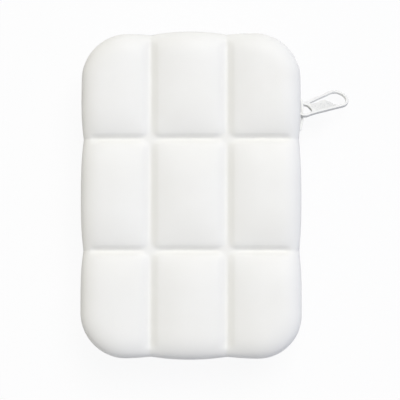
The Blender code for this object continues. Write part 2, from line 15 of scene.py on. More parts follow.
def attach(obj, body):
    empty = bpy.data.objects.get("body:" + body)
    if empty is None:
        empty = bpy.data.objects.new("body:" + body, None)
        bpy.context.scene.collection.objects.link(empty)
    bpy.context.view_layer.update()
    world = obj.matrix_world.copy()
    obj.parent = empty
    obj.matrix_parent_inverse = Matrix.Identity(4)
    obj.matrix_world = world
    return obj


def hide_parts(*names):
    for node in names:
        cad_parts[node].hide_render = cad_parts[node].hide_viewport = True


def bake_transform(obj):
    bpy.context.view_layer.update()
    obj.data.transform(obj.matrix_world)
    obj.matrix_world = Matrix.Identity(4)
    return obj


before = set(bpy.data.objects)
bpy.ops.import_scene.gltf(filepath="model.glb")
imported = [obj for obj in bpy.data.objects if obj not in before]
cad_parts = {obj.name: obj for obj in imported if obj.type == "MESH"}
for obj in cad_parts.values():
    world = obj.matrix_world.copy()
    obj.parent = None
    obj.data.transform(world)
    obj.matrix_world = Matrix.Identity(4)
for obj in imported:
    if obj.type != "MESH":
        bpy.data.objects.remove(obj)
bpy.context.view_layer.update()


# Purse body. The real one is moulded in soft white silicone as one bag: two quilted faces that meet in
# a crease round three sides, with a slot left in the fourth. The slot's lips roll in to the zip.
MM = 0.001
half_width = 40.3 * MM
half_length = 60.0 * MM
mid_height = 15.0 * MM
corner_radius = 17.2 * MM
crease_inset = 2.0 * MM
crease_flare = 0.85
crease_rise = 0.17
bulge_height = 7.6 * MM
bulge_rise = 0.55
shoulder_reach = 11.0 * MM
top_bow = 1.6 * MM
low_bow = 0.7 * MM
top_taper = 0.4 * MM
taper_power = 4
low_zip_corner = 0.75 * MM
top_spine_corner = -0.45 * MM
top_zip_corner = -0.35 * MM
rest_cut = 0.5 * MM
wall = 1.8 * MM

groove_x = 13.9 * MM
groove_y = 20.34 * MM
groove_shift_x = -0.75 * MM
groove_shift_y = -0.1 * MM
groove_depth = 0.75 * MM
groove_floor = 0.05 * MM
groove_half_width = 2.2 * MM
groove_stretch = 1.5
tile_corner = 3.2 * MM
tile_crown = 2.1 * MM
side_crown = 1.0 * MM
outer_tile_rise_x = 14.0 * MM
outer_tile_rise_y = 18.0 * MM
crown_power_x = 2.1
crown_power_y = 3.0
crown_onset = 0.7
shoulder_power = 2.8
groove_fade_degrees = (45.0, 75.0)
groove_shade = 0.992

mouth_length = 85.0 * MM
mouth_fade = 4.0 * MM
mouth_slot = 9.2 * MM
lip_depth = 6.3 * MM
lip_round = 1.0 * MM

corner_steps = 16
edge_rings = 13
shoulder_rings = 21
straight_out = 0.999
seam_weld = 0.005 * MM


def smooth(value):
    """Eases 0..1 in and out."""
    value = np.clip(value, 0.0, 1.0)
    return value * value * (3 - 2 * value)


def tile_drop(place, groove, outer_rise, power):
    """How far a tile's crown has fallen, 0 on its top and 1 at the groove."""
    place = np.abs(place)
    inner = (np.minimum(place, groove) / groove) ** power
    outer = np.clip(1 - (place - groove) / outer_rise, 0.0, 1.0) ** power
    return np.where(place <= groove, inner, outer)


def groove_share(x, y):
    """1 on a groove's flat floor, 0 on the tiles, whose corners are rounded where grooves cross."""
    aside_x = np.abs(np.abs(x) - groove_x) / groove_stretch
    aside_y = np.abs(np.abs(y) - groove_y)
    short_x = np.clip(tile_corner - aside_x, 0.0, None)
    short_y = np.clip(tile_corner - aside_y, 0.0, None)
    aside = np.minimum(aside_x, aside_y)
    near_corner = (short_x > 0) & (short_y > 0)
    aside = np.where(near_corner, tile_corner - np.hypot(short_x, short_y), aside)
    return 1 - smooth((aside - groove_floor) / (groove_half_width - groove_floor))


def sunk(x, y, station):
    """How far the skin lies under the plain section, for crowns and grooves."""
    x = x - groove_shift_x
    y = y - groove_shift_y
    drop_x = tile_drop(x, groove_x, outer_tile_rise_x, crown_power_x)
    drop_y = tile_drop(y, groove_y, outer_tile_rise_y, crown_power_y)
    crown = 1 - (1 - drop_x) * (1 - drop_y)
    first, last = groove_fade_degrees
    turned = 90 * (station - 1)
    trench = groove_share(x, y) * smooth((turned - first) / (last - first))
    depth = side_crown * np.minimum(1.0, station) ** 2
    depth = depth + (tile_crown - side_crown) * smooth((station - 1) / crown_onset)
    return depth * crown + groove_depth * trench


def edge_section(station, mouth, height):
    """Inset, height and normal: stations 0..1 climb to the bulge, 1..2 turn over the shoulder."""
    slot = mouth_slot / 2
    plain = np.array([
        (crease_inset, 0.0),
        (crease_inset * crease_flare, bulge_height * crease_rise),
        (0.0, bulge_height * bulge_rise),
        (0.0, bulge_height),
    ])
    lipped = np.array([(lip_depth, slot), (lip_round, slot), (0.0, slot), (0.0, bulge_height)])
    cage = plain[None] + (lipped - plain)[None] * mouth[:, None, None]
    t = np.minimum(station, 1.0)
    weights = np.stack([(1 - t) ** 3, 3 * t * (1 - t) ** 2, 3 * t**2 * (1 - t), t**3], 1)
    slopes = np.stack([-3 * (1 - t) ** 2, 3 * (1 - t) * (1 - 3 * t), 3 * t * (2 - 3 * t), 3 * t**2], 1)
    inset, rise = np.einsum("nk,nkd->dn", weights, cage)
    d_inset, d_rise = np.einsum("nk,nkd->dn", slopes, cage)
    turn = math.pi / 2 * np.clip(station - 1, 0.0, 1.0)
    climb = height - bulge_height
    over = station > 1
    share = 2 / shoulder_power
    flat = np.abs(np.cos(turn)) ** share
    steep = np.sin(turn) ** share
    inset = np.where(over, shoulder_reach * (1 - flat), inset)
    rise = np.where(over, bulge_height + climb * steep, rise)
    out = np.where(over, climb * flat ** (shoulder_power - 1), d_rise)
    up = np.where(over, shoulder_reach * steep ** (shoulder_power - 1), d_inset)
    size = np.hypot(out, up)
    return inset, rise, out / size, up / size


def steps_between(*stops):
    """Places from the first stop to the last; each later stop comes with its number of steps."""
    places = [stops[0]]
    for stop, count in stops[1:]:
        places += list(np.linspace(places[-1], stop, count + 1)[1:])
    return places


middle_x = half_width - corner_radius
middle_y = half_length - corner_radius
edge_x = groove_x - groove_half_width * groove_stretch
over_x = groove_x + groove_half_width * groove_stretch
edge_y = groove_y - groove_half_width
over_y = groove_y + groove_half_width
mouth_end = mouth_length / 2
columns = np.array(steps_between(
    -middle_x, (groove_shift_x - over_x, 6), (groove_shift_x - edge_x, 10),
    (groove_shift_x + edge_x, 17), (groove_shift_x + over_x, 10), (middle_x, 6),
))
rows = np.array(steps_between(
    -middle_y, (-mouth_end, 1), (mouth_fade - mouth_end, 6), (groove_shift_y - over_y, 10),
    (groove_shift_y - edge_y, 10), (groove_shift_y + edge_y, 25), (groove_shift_y + over_y, 10),
    (mouth_end - mouth_fade, 10), (mouth_end, 6), (middle_y, 1),
))
across = len(columns) - 1 + 2 * corner_steps
along = len(rows) - 1 + 2 * corner_steps


def plan_place(index, places):
    """The straight place under a grid line, and how far the line lies into a corner, -1..1."""
    straight = np.clip(index - corner_steps, 0, len(places) - 1)
    beyond = np.clip(index - corner_steps - (len(places) - 1), 0, None)
    before = np.clip(corner_steps - index, 0, None)
    return places[straight], (beyond - before) / corner_steps


def face_skin(side):
    """Points and quads of one quilted face, from its crease or lip to its middle."""
    height = mid_height + (rest_cut if side < 0 else 0.0)
    i, j = np.meshgrid(np.arange(across + 1), np.arange(along + 1), indexing="ij")
    base_x, into_x = plan_place(i, columns)
    base_y, into_y = plan_place(j, rows)
    far = np.maximum(np.abs(into_x), np.abs(into_y))
    safe = np.where(far == 0, 1.0, far)
    swing = np.where(
        np.abs(into_x) >= np.abs(into_y),
        math.pi / 4 * np.abs(into_y) / safe,
        math.pi / 2 - math.pi / 4 * np.abs(into_x) / safe,
    )
    reach = (corner_radius - shoulder_reach) * far
    x = base_x + np.sign(into_x) * reach * np.cos(swing)
    y = base_y + np.sign(into_y) * reach * np.sin(swing)
    x = np.where(into_y == 0, base_x + into_x * (corner_radius - shoulder_reach), x)
    y = np.where(into_x == 0, base_y + into_y * (corner_radius - shoulder_reach), y)
    flat = np.stack([x, y, height - sunk(x, y, np.full(x.shape, 2.0))], -1)
    border = [(c, 0) for c in range(across)] + [(across, r) for r in range(along)]
    border += [(across - c, along) for c in range(across)] + [(0, along - r) for r in range(along)]
    bi, bj = np.array(border).T
    base = np.stack([base_x[bi, bj], base_y[bi, bj]], 1)
    outward = np.stack([
        np.sign(into_x[bi, bj]) * np.cos(swing[bi, bj]),
        np.sign(into_y[bi, bj]) * np.sin(swing[bi, bj]),
    ], 1)
    at_mouth = outward[:, 0] > straight_out
    mouth = np.where(at_mouth, smooth((mouth_end - np.abs(base[:, 1])) / mouth_fade), 0.0)
    edge = list(np.linspace(0, 1, edge_rings + 1)) + list(np.linspace(1, 2, shoulder_rings + 1)[1:-1])
    rings = []
    for station in edge:
        stations = np.full(len(border), station)
        inset, rise, out, up = edge_section(stations, mouth, height)
        foot = base + outward * (corner_radius - inset)[:, None]
        bow = np.where(outward[:, 1] > 0, top_bow, low_bow) * (base[:, 0] / middle_x) ** 2
        taper = top_taper * np.clip(base[:, 1] / middle_y, 0.0, 1.0) ** taper_power
        turned = 2 * np.abs(outward[:, 0] * outward[:, 1])
        high_corner = np.where(outward[:, 0] > 0, top_zip_corner, top_spine_corner)
        low_corner = np.where(outward[:, 0] > 0, low_zip_corner, 0.0)
        fuller = np.where(outward[:, 1] > 0, high_corner, low_corner)
        lowered = 1 - station / 2
        foot += outward * (fuller * smooth(turned) * lowered)[:, None]
        foot[:, 1] -= outward[:, 1] * bow * lowered
        foot[:, 0] -= outward[:, 0] * taper * lowered
        down = sunk(foot[:, 0], foot[:, 1], stations)
        rings.append(np.column_stack([foot - outward * (out * down)[:, None], rise - up * down]))
    count = len(border)
    points = np.concatenate([*rings, flat.reshape(-1, 3)])
    first_flat = len(rings) * count
    grid = first_flat + np.arange((across + 1) * (along + 1)).reshape(across + 1, along + 1)
    inner_border = grid[bi, bj]
    quads = []
    for ring in range(len(rings)):
        lower = ring * count + np.arange(count)
        upper = inner_border if ring == len(rings) - 1 else lower + count
        quads.append(np.stack([lower, np.roll(lower, -1), np.roll(upper, -1), upper], 1))
    quads.append(np.stack([
        grid[:-1, :-1].ravel(), grid[1:, :-1].ravel(), grid[1:, 1:].ravel(), grid[:-1, 1:].ravel()
    ], 1))
    quads = np.concatenate(quads)
    points[:, 2] = np.minimum(points[:, 2], mid_height)
    if side < 0:
        points[:, 2] *= -1
        quads = quads[:, ::-1]
    points[:, 2] += mid_height
    return points, quads


front_points, front_quads = face_skin(1)
rear_points, rear_quads = face_skin(-1)
body_mesh = bpy.data.meshes.new("purse_body")
body_mesh.from_pydata(
    np.concatenate([front_points, rear_points]).tolist(),
    [],
    np.concatenate([front_quads, rear_quads + len(front_points)]).tolist(),
)
bm = bmesh.new()
bm.from_mesh(body_mesh)
bmesh.ops.remove_doubles(bm, verts=bm.verts, dist=seam_weld)
bm.to_mesh(body_mesh)
bm.free()
body_mesh.shade_smooth()


def placed(name, data):
    """A new object in the scene, at the origin."""
    made = bpy.data.objects.new(name, data)
    bpy.context.scene.collection.objects.link(made)
    return made


purse_body = placed("purse_body", body_mesh)
walls = purse_body.modifiers.new("walls", "SOLIDIFY")
walls.thickness = wall
walls.offset = -1.0


def baked(guide):
    """A new mesh of what an object's curve or modifiers make."""
    bpy.context.view_layer.update()
    graph = bpy.context.evaluated_depsgraph_get()
    return bpy.data.meshes.new_from_object(guide.evaluated_get(graph))


def add_node(tree, kind, inputs=(), **settings):
    """A node with its settings, and its inputs either set to a value or linked to another socket."""
    made = tree.nodes.new(kind)
    for key, value in settings.items():
        setattr(made, key, value)
    for key, value in dict(inputs).items():
        if isinstance(value, bpy.types.NodeSocket):
            tree.links.new(value, made.inputs[key])
        else:
            made.inputs[key].default_value = value
    return made


def maths(tree, operation, *values):
    """What a maths node makes of the values, as its output socket."""
    return add_node(tree, "ShaderNodeMath", enumerate(values), operation=operation).outputs["Value"]


def new_group(name, inputs, outputs):
    """A shader group with a default for each input: its tree, and its input and output nodes."""
    group = bpy.data.node_groups.new(name, "ShaderNodeTree")
    for key, value in inputs.items():
        socket = group.interface.new_socket(name=key, in_out="INPUT", socket_type="NodeSocketFloat")
        socket.default_value = value
    for key in outputs:
        group.interface.new_socket(name=key, in_out="OUTPUT", socket_type="NodeSocketFloat")
    return group, group.nodes.new("NodeGroupInput"), group.nodes.new("NodeGroupOutput")


# Grain shared by the moulded, painted and woven pieces: a fine even stipple, and broad soft blotches as
# in any moulding, paint or yarn. The silicone's material follows it, with painted shade on the groove
# floors.
fine_grain, given, given_out = new_group(
    "fine_grain", {"Grain Scale": 2500.0, "Blotch Scale": 90.0}, ("Grain", "Blotch")
)
place = add_node(fine_grain, "ShaderNodeTexCoord").outputs["Object"]
stipple = add_node(fine_grain, "ShaderNodeTexNoise", {
    "Vector": place, "Scale": given.outputs["Grain Scale"], "Detail": 3.0, "Roughness": 0.6,
})
blotches = add_node(fine_grain, "ShaderNodeTexNoise", {
    "Vector": place, "Scale": given.outputs["Blotch Scale"], "Detail": 2.0, "Roughness": 0.5,
})
fine_grain.links.new(stipple.outputs["Fac"], given_out.inputs["Grain"])
fine_grain.links.new(blotches.outputs["Fac"], given_out.inputs["Blotch"])


def grained_material(name, pale, deep, roughness, grain_scale, blotch_scale, bump_height):
    """A material whose colour, roughness and bump all vary with the shared grain."""
    material = bpy.data.materials.new(name)
    material.use_nodes = True
    tree = material.node_tree
    grain = add_node(tree, "ShaderNodeGroup", node_tree=fine_grain)
    grain.inputs["Grain Scale"].default_value = grain_scale
    grain.inputs["Blotch Scale"].default_value = blotch_scale
    spread = add_node(tree, "ShaderNodeMapRange", {
        "Value": grain.outputs["Blotch"], "From Min": 0.3, "From Max": 0.7,
    })
    colour = add_node(tree, "ShaderNodeMix", {
        "Factor": spread.outputs["Result"], "A": (*deep, 1), "B": (*pale, 1),
    }, data_type="RGBA")
    gloss = add_node(tree, "ShaderNodeMapRange", {
        "Value": grain.outputs["Grain"], "From Min": 0.3, "From Max": 0.7,
        "To Min": roughness[0], "To Max": roughness[1],
    })
    bump = add_node(tree, "ShaderNodeBump", {
        "Height": grain.outputs["Grain"], "Strength": 1.0, "Distance": bump_height,
    })
    shader = tree.nodes["Principled BSDF"]
    tree.links.new(colour.outputs["Result"], shader.inputs["Base Color"])
    tree.links.new(gloss.outputs["Result"], shader.inputs["Roughness"])
    tree.links.new(bump.outputs["Normal"], shader.inputs["Normal"])
    return material, shader, colour


silicone, shader, skin_colour = grained_material(
    "white_silicone", pale=(0.893, 0.889, 0.832), deep=(0.878, 0.872, 0.812), roughness=(0.5, 0.6),
    grain_scale=2600.0, blotch_scale=85.0, bump_height=0.006 * MM,
)
tree = silicone.node_tree
# Painted shade: the skin's colour is made a little darker on the groove floors, where shade falls.
painted_groove_shade_mask = add_node(tree, "ShaderNodeAttribute", attribute_name="groove").outputs["Fac"]
shade = add_node(tree, "ShaderNodeMapRange", {"Value": painted_groove_shade_mask, "To Min": 1.0, "To Max": groove_shade})
shaded_skin_colour = add_node(tree, "ShaderNodeVectorMath", {
    0: skin_colour.outputs["Result"], "Scale": shade.outputs["Result"],
}, operation="SCALE")
tree.links.new(shaded_skin_colour.outputs["Vector"], shader.inputs["Base Color"])
body_mesh.materials.append(silicone)

places = np.empty(len(body_mesh.vertices) * 3, np.float32)
body_mesh.vertices.foreach_get("co", places)
places = places.reshape(-1, 3)
# The groove attribute holds the painted shade's mask: 1 on a groove's floor, 0 on the tiles.
painted_groove_shade_share = groove_share(places[:, 0] - groove_shift_x, places[:, 1] - groove_shift_y)
painted_groove_shade_mark = body_mesh.attributes.new("groove", "FLOAT", "POINT")
painted_groove_shade_mark.data.foreach_set("value", painted_groove_shade_share.astype(np.float32))

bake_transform(purse_body)
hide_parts("front_shell", "rear_shell")


# Zip tapes. Two woven polyester strips with thin edges, bonded behind the lips of the mouth. Their ribs
# are the warp threads, which run along the zip, and the weft crosses them in a fine zigzag.
clearance = 0.3 * MM
tape_thickness = 0.5 * MM
tape_parting = 1.6 * MM
tape_seat = 3.4 * MM
tape_past_mouth = 2.5 * MM
tape_closing = 1.2 * MM
closed_parting = 0.1 * MM
bottom_stop_inset = 5.3 * MM
top_stop_inset = 3.1 * MM
tape_rib = 0.6 * MM
points_per_rib = 6
rib_depth = 0.07 * MM
tape_edge_sharpness = 3.5
tape_step = 0.4 * MM
tape_fold = math.radians(50)
pick_scale = 2600.0
pick_shade = 0.93
pick_relief = 0.04 * MM
tape_front_x = half_width - lip_depth - clearance
tape_back_x = tape_front_x - tape_thickness
tape_half_length = mouth_length / 2 + tape_past_mouth
tape_inner = tape_parting / 2
tape_outer = mouth_slot / 2 + tape_seat
closed_from = bottom_stop_inset - mouth_length / 2
closed_past = mouth_length / 2 - top_stop_inset


def tape_profile():
    """The tape's section, as depth from its middle and height over the zip's middle line."""
    width = tape_outer - tape_inner
    ribs = round(width / tape_rib)
    steps = ribs * points_per_rib
    front = []
    for step in range(steps + 1):
        share = step / steps
        rounded_edge = min(1.0, tape_edge_sharpness * math.sqrt(min(share, 1 - share)))
        rib = rib_depth * (0.5 - 0.5 * math.cos(2 * math.pi * ribs * share))
        depth = tape_thickness / 2 * rounded_edge - rib * rounded_edge
        front.append((depth, tape_inner + share * width))
    back = [(-depth, height) for depth, height in reversed(front[1:-1])]
    return front + back


def join_rings(bm, rings, capped):
    """Faces between rings of vertices, with or without a cap at each end."""
    for lower, upper in zip(rings, rings[1:]):
        for here in range(len(lower)):
            bm.faces.new((lower[here - 1], lower[here], upper[here], upper[here - 1]))
    if capped:
        bm.faces.new(rings[0])
        bm.faces.new(list(reversed(rings[-1])))
    bmesh.ops.recalc_face_normals(bm, faces=bm.faces)


def swept_tape(name, side, body, node):
    """One tape with closed ends. Past the end stops its inner edge is drawn in to meet the other's."""
    profile = tape_profile()
    middle_x = (tape_front_x + tape_back_x) / 2
    width = tape_outer - tape_inner
    bm = bmesh.new()
    rings = []
    steps = round(2 * tape_half_length / tape_step)
    for y in np.linspace(-tape_half_length, tape_half_length, steps + 1):
        closed = smooth(max(closed_from - y, y - closed_past) / tape_closing)
        pull = closed * (tape_inner - closed_parting / 2)
        ring = []
        for x, z in profile:
            place = mid_height + side * (z - pull * (tape_outer - z) / width)
            ring.append(bm.verts.new((middle_x + x, y, place)))
        rings.append(ring)
    join_rings(bm, rings, capped=True)
    mesh = bpy.data.meshes.new(name)
    bm.to_mesh(mesh)
    bm.free()
    mesh.shade_smooth()
    mesh.set_sharp_from_angle(angle=tape_fold)
    mesh.materials.append(woven_tape)
    tape = placed(name, mesh)
    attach(tape, body)
    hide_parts(node)


woven_tape, shader, tape_colour = grained_material(
    "white_woven_tape", pale=(0.89, 0.89, 0.88), deep=(0.85, 0.85, 0.84), roughness=(0.75, 0.9),
    grain_scale=5200.0, blotch_scale=700.0, bump_height=0.01 * MM,
)
tree = woven_tape.node_tree
object_place = add_node(tree, "ShaderNodeTexCoord").outputs["Object"]
apart = add_node(tree, "ShaderNodeSeparateXYZ", {"Vector": object_place})
zigzag = maths(tree, "PINGPONG", apart.outputs["Z"], 2 * tape_rib)
slanted = maths(tree, "ADD", apart.outputs["Y"], zigzag)
picks = maths(tree, "MULTIPLY", slanted, 2 * math.pi * pick_scale)
wave = maths(tree, "SINE", picks)
thread = add_node(tree, "ShaderNodeMapRange", {"Value": wave, "From Min": -1.0, "From Max": 1.0})
between = add_node(tree, "ShaderNodeMapRange", {
    "Value": thread.outputs["Result"], "To Min": pick_shade, "To Max": 1.0,
})
tape_tone = add_node(tree, "ShaderNodeVectorMath", {
    0: tape_colour.outputs["Result"], "Scale": between.outputs["Result"],
}, operation="SCALE")
weave_bump = add_node(tree, "ShaderNodeBump", {
    "Height": thread.outputs["Result"], "Strength": 1.0, "Distance": pick_relief,
    "Normal": tree.nodes["Bump"].outputs["Normal"],
})
tree.links.new(tape_tone.outputs["Vector"], shader.inputs["Base Color"])
tree.links.new(weave_bump.outputs["Normal"], shader.inputs["Normal"])

swept_tape("zip_tape_rear_woven", -1, "rear_half", "zip_tape_rear")
swept_tape("zip_tape_front_woven", 1, "front_half", "zip_tape_front")


# Zip teeth. Each row is one nylon filament wound into a flat spiral over a cord and sewn to its tape;
# the heads of one row lie between those of the other.
tooth_pitch = 1.8 * MM
coil_half_width = 2.3 * MM
coil_overlap = 0.8 * MM
coil_height = 1.6 * MM
filament = 0.29 * MM
filament_sides = 8
head_swell = 1.35
near_head_swell = 1.1
head_steps = 5
back_steps = 6
thread_radius = 0.1 * MM
thread_sides = 5
stitch_lines = (1.05 * MM, 1.5 * MM)
stitch_steps = 6
stitch_reach = 0.92
stitch_roundness = 0.6
cord_height = 1.1 * MM
cord_radii = (0.18 * MM, 0.5 * MM)
cord_sides = 10
cord_points = 12
near_parallel = 0.2
turn_weld = 0.002 * MM
coil_under_slider = 3.7 * MM
stop_length = 1.6 * MM
slider_length = 13.6 * MM
coil_x = tape_front_x + clearance
coil_low_x = coil_x + filament
coil_high_x = coil_x + coil_height - filament
stop_top_y = closed_from + stop_length
slider_nose_y = closed_past - stop_length - clearance
slider_tail_y = slider_nose_y - slider_length
coil_start = stop_top_y + clearance
coil_end = slider_nose_y - coil_under_slider


def sweep(path, widths, sides, capped):
    """A tube along a path. Each of widths is its radius in the coil's plane and along the zip."""
    path = [Vector(p) for p in path]
    bm = bmesh.new()
    rings = []
    for here, point in enumerate(path):
        before = path[max(here - 1, 0)]
        after = path[min(here + 1, len(path) - 1)]
        tangent = (after - before).normalized()
        first = tangent.cross(Vector((0, 1, 0)))
        if first.length < near_parallel:
            first = tangent.cross(Vector((0, 0, 1)))
        first.normalize()
        second = first.cross(tangent)
        turns = [2 * math.pi * k / sides for k in range(sides)]
        wide, tall = widths[here]
        ring = [point + first * (wide * math.cos(t)) + second * (tall * math.sin(t)) for t in turns]
        rings.append([bm.verts.new(p) for p in ring])
    join_rings(bm, rings, capped)
    return bm


def spiral_turn(side):
    """One turn of the filament: in along the tape, round the head, back on top and round the back."""
    mid_x = (coil_low_x + coil_high_x) / 2
    bend = (coil_high_x - coil_low_x) / 2
    back = coil_half_width - filament - bend
    head = bend + filament - coil_overlap / 2
    between = (back * 2 + head) / 3
    plain = (filament, filament)
    near_head = (filament, filament * near_head_swell)
    path = [(coil_low_x, 0.0, back), (coil_low_x, 0.0, between), (coil_low_x, 0.0, head)]
    widths = [plain, plain, near_head]
    for step in range(1, head_steps):
        turn = math.pi * step / head_steps
        path.append((mid_x - bend * math.cos(turn), 0.0, head - bend * math.sin(turn)))
        widths.append((filament, filament * head_swell))
    path += [(coil_high_x, 0.0, head), (coil_high_x, 0.0, between), (coil_high_x, 0.0, back)]
    widths += [near_head, plain, plain]
    for step in range(1, back_steps + 1):
        turn = math.pi * step / back_steps
        advance = smooth(np.array(step / back_steps)).item() * tooth_pitch
        path.append((mid_x + bend * math.cos(turn), advance, back + bend * math.sin(turn)))
        widths.append(plain)
    return [(x, y, side * z) for x, y, z in path], widths


def stitch(side, height):
    """One stitch of the sewing thread, up over the filament and down again before the next turn."""
    path = []
    for step in range(stitch_steps + 1):
        share = step / stitch_steps
        climb = math.sin(math.pi * share) ** stitch_roundness
        across = coil_high_x - filament + 2 * filament * climb
        path.append((across, (share - 0.5) * tooth_pitch * stitch_reach, side * height))
    return path, [(thread_radius, thread_radius)] * len(path)


repeat_tree = bpy.data.node_groups.new("repeat_along_zip", "GeometryNodeTree")
repeat_inputs = {"Geometry": "Geometry", "Count": "Int", "Pitch": "Float", "Material": "Material"}
sockets = {}
for key, kind in repeat_inputs.items():
    made = repeat_tree.interface.new_socket(name=key, in_out="INPUT", socket_type="NodeSocket" + kind)
    sockets[key] = made.identifier
repeat_tree.interface.new_socket(name="Geometry", in_out="OUTPUT", socket_type="NodeSocketGeometry")
given = repeat_tree.nodes.new("NodeGroupInput")
step = add_node(repeat_tree, "ShaderNodeCombineXYZ", {"Y": given.outputs["Pitch"]})
row_points = add_node(repeat_tree, "GeometryNodeMeshLine", {
    "Count": given.outputs["Count"], "Offset": step.outputs["Vector"],
})
turns = add_node(repeat_tree, "GeometryNodeInstanceOnPoints", {
    "Points": row_points.outputs["Mesh"], "Instance": given.outputs["Geometry"],
})
real = add_node(repeat_tree, "GeometryNodeRealizeInstances", {"Geometry": turns.outputs["Instances"]})
welded = add_node(repeat_tree, "GeometryNodeMergeByDistance", {
    "Geometry": real.outputs["Geometry"], "Distance": turn_weld,
})
dressed = add_node(repeat_tree, "GeometryNodeSetMaterial", {
    "Geometry": welded.outputs["Geometry"], "Material": given.outputs["Material"],
})
leave = repeat_tree.nodes.new("NodeGroupOutput")
repeat_tree.links.new(dressed.outputs["Geometry"], leave.inputs["Geometry"])


def repeat_along(name, unit, start, count, material):
    """A plain mesh piece made of count copies of unit, a pitch apart along the zip from start."""
    bmesh.ops.translate(unit, verts=unit.verts, vec=start)
    mesh = bpy.data.meshes.new(name + "_unit")
    unit.to_mesh(mesh)
    unit.free()
    guide = placed(name + "_unit", mesh)
    repeat = guide.modifiers.new("repeat", "NODES")
    repeat.node_group = repeat_tree
    repeat[sockets["Count"]] = count
    repeat[sockets["Pitch"]] = tooth_pitch
    repeat[sockets["Material"]] = material
    whole = baked(guide)
    bpy.data.objects.remove(guide)
    bm = bmesh.new()
    bm.from_mesh(whole)
    bmesh.ops.holes_fill(bm, edges=[e for e in bm.edges if e.is_boundary], sides=0)
    bmesh.ops.recalc_face_normals(bm, faces=bm.faces)
    bm.to_mesh(whole)
    bm.free()
    whole.name = name
    whole.shade_smooth()
    return placed(name, whole)


nylon = grained_material(
    "white_nylon_filament", pale=(0.9, 0.9, 0.89), deep=(0.87, 0.87, 0.86), roughness=(0.3, 0.42),
    grain_scale=3500.0, blotch_scale=500.0, bump_height=0.004 * MM,
)[0]
cotton = grained_material(
    "white_sewing_thread", pale=(0.89, 0.89, 0.88), deep=(0.83, 0.83, 0.82), roughness=(0.7, 0.85),
    grain_scale=9000.0, blotch_scale=2500.0, bump_height=0.02 * MM,
)[0]
turn_count = int((coil_end - coil_start) / tooth_pitch - 0.5)
for side, body, end_name in ((-1, "rear_half", "rear"), (1, "front_half", "front")):
    first_y = coil_start + filament * head_swell + (0.0 if side > 0 else tooth_pitch / 2)
    row_start = Vector((0, first_y, mid_height))
    turn_bm = sweep(*spiral_turn(side), filament_sides, capped=False)
    coil = repeat_along("zip_coil_" + end_name, turn_bm, row_start, turn_count, nylon)
    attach(coil, body)
    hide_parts("zip_teeth_" + end_name)
    for line, height in enumerate(stitch_lines, 1):
        stitch_bm = sweep(*stitch(side, height), thread_sides, capped=True)
        seam_name = f"coil_stitches_{end_name}_{line}"
        seam = repeat_along(seam_name, stitch_bm, row_start, turn_count, cotton)
        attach(seam, body)
    cord_x = (coil_low_x + coil_high_x) / 2
    cord_z = mid_height + side * cord_height
    cord_ends = (coil_start, first_y + turn_count * tooth_pitch)
    path = [(cord_x, y, cord_z) for y in np.linspace(*cord_ends, cord_points)]
    bm = sweep(path, [cord_radii] * len(path), cord_sides, capped=True)
    mesh = bpy.data.meshes.new("coil_cord_" + end_name)
    bm.to_mesh(mesh)
    bm.free()
    mesh.shade_smooth()
    mesh.materials.append(cotton)
    core = placed("coil_cord_" + end_name, mesh)
    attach(core, body)


# End stops. Small clips of painted strip folded round the edges of the tapes: one on each tape past the
# closed slider, and a wider one that ties both tapes together where the teeth begin.
stop_width = 1.8 * MM
stop_leg = 0.8 * MM
bottom_stop_width = 5.2 * MM
stop_edge = 0.22 * MM
stop_step = 0.4 * MM
edge_segments = 3
edge_weld = 0.001 * MM
metal_fold = math.radians(38)
worn_paint = (0.56, 0.56, 0.55)
across_zip = Matrix(((1, 0, 0, 0), (0, 0, -1, 0), (0, 1, 0, 0), (0, 0, 0, 1)))


def pressed(name, loops, thickness, edge, place):
    """A flat outline with any holes, as thick as said, its edges rounded, as a mesh in its place."""
    curve = bpy.data.curves.new(name, "CURVE")
    curve.dimensions = "2D"
    curve.fill_mode = "BOTH"
    curve.extrude = thickness / 2 - edge
    curve.bevel_depth = edge
    curve.offset = -edge
    curve.bevel_resolution = edge_segments
    for loop in loops:
        spline = curve.splines.new("POLY")
        spline.points.add(len(loop) - 1)
        for point, (x, y) in zip(spline.points, loop):
            point.co = (x, y, 0.0, 1.0)
        spline.use_cyclic_u = True
    guide = placed(name + "_outline", curve)
    mesh = baked(guide)
    bpy.data.objects.remove(guide)
    mesh.name = name
    mesh.transform(place)
    bm = bmesh.new()
    bm.from_mesh(mesh)
    bmesh.ops.remove_doubles(bm, verts=bm.verts, dist=edge_weld)
    bmesh.ops.recalc_face_normals(bm, faces=bm.faces)
    bm.to_mesh(mesh)
    bm.free()
    mesh.materials.clear()
    mesh.shade_smooth()
    mesh.set_sharp_from_angle(angle=metal_fold)
    return placed(name, mesh)


def subdivided(loop, step):
    """The same outline with points no further apart than step."""
    out = []
    for here, point in enumerate(loop):
        ahead = loop[(here + 1) % len(loop)]
        count = max(1, math.ceil(math.dist(point, ahead) / step))
        for part in range(count):
            share = part / count
            out.append(tuple(a + (b - a) * share for a, b in zip(point, ahead)))
    return out


edge_wear, given, given_out = new_group("edge_wear", {"Amount": 0.5, "Speck Scale": 1800.0}, ("Mask",))
sharp = add_node(edge_wear, "ShaderNodeNewGeometry").outputs["Pointiness"]
raised = add_node(edge_wear, "ShaderNodeMapRange", {"Value": sharp, "From Min": 0.52, "From Max": 0.6})
specks = add_node(edge_wear, "ShaderNodeTexNoise", {
    "Vector": add_node(edge_wear, "ShaderNodeTexCoord").outputs["Object"],
    "Scale": given.outputs["Speck Scale"], "Detail": 4.0,
})
ragged = add_node(edge_wear, "ShaderNodeMapRange", {
    "Value": specks.outputs["Fac"], "From Min": 0.45, "From Max": 0.7,
})
worn = maths(edge_wear, "MULTIPLY", raised.outputs["Result"], ragged.outputs["Result"])
held = maths(edge_wear, "MULTIPLY", worn, given.outputs["Amount"])
edge_wear.links.new(held, given_out.inputs["Mask"])


